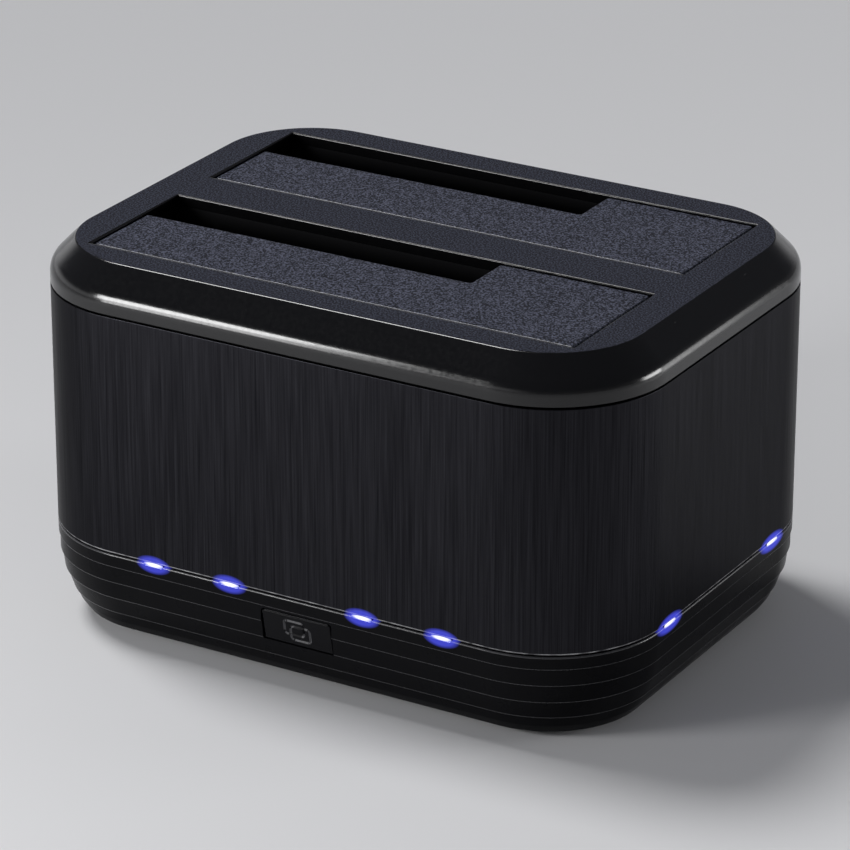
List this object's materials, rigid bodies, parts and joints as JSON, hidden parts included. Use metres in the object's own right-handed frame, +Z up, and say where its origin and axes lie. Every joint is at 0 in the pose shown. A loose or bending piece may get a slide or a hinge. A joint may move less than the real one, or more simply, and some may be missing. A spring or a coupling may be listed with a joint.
{
  "type": "hard drive docking station",
  "caption": "Upright desktop dock with twin sprung drive bays, a brushed dark sleeve, a stepped base, lit seam indicators and a clone button.",
  "frame": {"origin": "middle of the body's plan, on the surface that the rubber feet stand on", "axes": "+X to the right along the body's length, +Y to the back with the ports, +Z up"},
  "size_m": [0.129, 0.096, 0.0765],
  "materials": {
    "cap_plastic": "fine matte grain on the flat top, gloss on the sloping shoulder",
    "door_plastic": "coarse sparkling matte grain",
    "sleeve_metal": "black anodised, brushed upright",
    "base_plastic": "black satin moulding with stepped bands",
    "inner_plastic": "dark grey moulding",
    "foot_rubber": "matte black rubber",
    "screw_steel": "plain zinc",
    "hinge_steel": "bright drawn steel",
    "board_laminate": "green solder mask",
    "socket_plastic": "black glass-filled moulding",
    "contact_metal": "gold plated",
    "port_metal": "bright nickel",
    "port_insulator": "blue insulator",
    "switch_plastic": "black satin moulding",
    "button_plastic": "black satin moulding with an engraved sign",
    "plunger_plastic": "natural white moulding",
    "lamp_lens": "clear light guide, lit blue from behind",
    "led_body": "white body with a clear top",
    "chip_plastic": "black moulded package",
    "can_metal": "bare drawn can",
    "ferrite": "grey pressed core"
  },
  "bodies": {
    "housing": {"top_cover": "cap_plastic", "aluminium_sleeve": "sleeve_metal", "drive_cradle": "inner_plastic", "base_tray": "base_plastic", "rubber_feet": "foot_rubber", "case_screws": "screw_steel", "cradle_screws": "screw_steel", "main_board": "board_laminate", "board_screws": "screw_steel", "front_sata_socket": "socket_plastic", "rear_sata_socket": "socket_plastic", "front_sata_contacts": "contact_metal", "rear_sata_contacts": "contact_metal", "usb_port_shell": "port_metal", "usb_port_tongue": "port_insulator", "dc_jack_body": "socket_plastic", "dc_jack_pin": "port_metal", "power_switch_body": "switch_plastic", "power_switch_terminals": "contact_metal", "clone_switch": "switch_plastic", "front_light_guides": "lamp_lens", "side_light_guides": "lamp_lens", "status_leds": "led_body", "bridge_chips": "chip_plastic", "capacitors": "can_metal", "power_inductors": "ferrite", "front_hinge_rod": "hinge_steel", "rear_hinge_rod": "hinge_steel", "front_door_spring": "hinge_steel", "rear_door_spring": "hinge_steel"},
    "front_bay_door": {"front_bay_door": "door_plastic"},
    "rear_bay_door": {"rear_bay_door": "door_plastic"},
    "clone_button": {"clone_button": "button_plastic", "clone_switch_plunger": "plunger_plastic"},
    "power_rocker": {"power_rocker": "switch_plastic"}
  },
  "joints": [
    {"name": "front_door_swing", "type": "hinge", "parent": "housing", "child": "front_bay_door", "pos_m": [0, -0.0382, 0.0721], "axis": [-1, 0, 0], "range_deg": [0, 88], "stiffness_Nm_per_rad": 0.006, "springref_deg": -45.84, "deforming": ["front_door_spring"]},
    {"name": "rear_door_swing", "type": "hinge", "parent": "housing", "child": "rear_bay_door", "pos_m": [0, 0.0038, 0.0721], "axis": [-1, 0, 0], "range_deg": [0, 88], "stiffness_Nm_per_rad": 0.006, "springref_deg": -45.84, "deforming": ["rear_door_spring"]},
    {"name": "clone_button_press", "type": "slide", "parent": "housing", "child": "clone_button", "axis": [0, 1, 0], "range_m": [0, 0.0008], "stiffness_N_per_m": 1200, "springref_m": -0.0004},
    {"name": "power_rocker_tilt", "type": "hinge", "parent": "housing", "child": "power_rocker", "pos_m": [-0.017, 0.0424, 0.0112], "axis": [0, 0, -1], "range_deg": [0, 18]}
  ]
}
